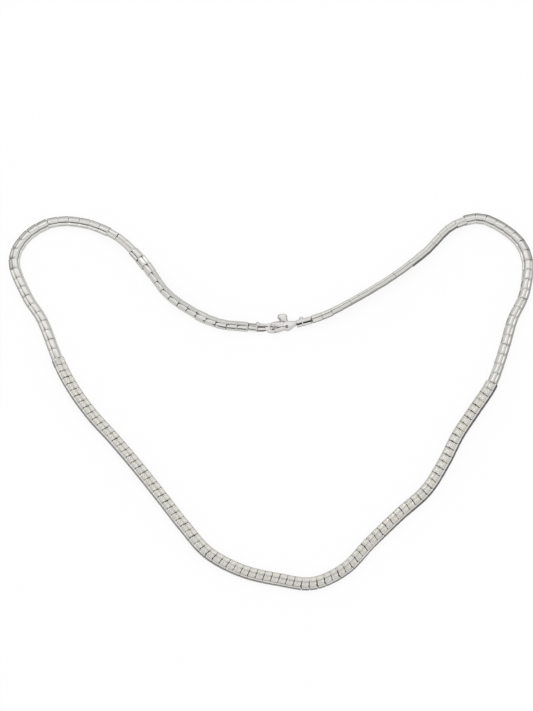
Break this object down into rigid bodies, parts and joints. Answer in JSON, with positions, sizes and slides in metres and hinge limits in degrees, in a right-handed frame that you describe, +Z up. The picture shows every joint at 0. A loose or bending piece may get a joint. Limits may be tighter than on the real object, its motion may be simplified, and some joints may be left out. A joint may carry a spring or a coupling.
{
  "type": "short-link chain necklace with a paved front and a lobster claw clasp",
  "caption": "Flexible white metal chain necklace of short rounded links lying in a fastened loop, with a stone-set front and a claw clasp whose spring gate opens.",
  "frame": {"origin": "on the surface that the necklace lies on, at the middle of the box round the loop", "axes": "+Z up from the surface, +Y from the paved front towards the clasp, +X along the loop's width towards the claw's chain"},
  "size_m": [0.1444, 0.1088, 0.0023],
  "materials": {
    "polished_metal": "polished white gold, rhodium plated",
    "paved_metal": "polished white gold settings between rows of small brilliants",
    "clasp_metal": "polished white gold, softly tumbled",
    "stones": "small round brilliants, clear and faintly tinted"
  },
  "bodies": {
    "root": {"chain_left": "polished_metal", "paved_front": "paved_metal", "chain_right": "polished_metal", "cap_left": "polished_metal", "cap_right": "polished_metal", "clasp_claw": "clasp_metal", "clasp_rivet": "clasp_metal"},
    "lever": {"clasp_lever": "clasp_metal"}
  },
  "joints": [
    {"name": "gate_hinge", "type": "hinge", "parent": "root", "child": "lever", "pos_m": [0.0041, 0.0206, 0.0012], "axis": [0, 0, 1], "range_deg": [0, 15], "stiffness_Nm_per_rad": 0.00005, "springref_deg": -11.46}
  ]
}
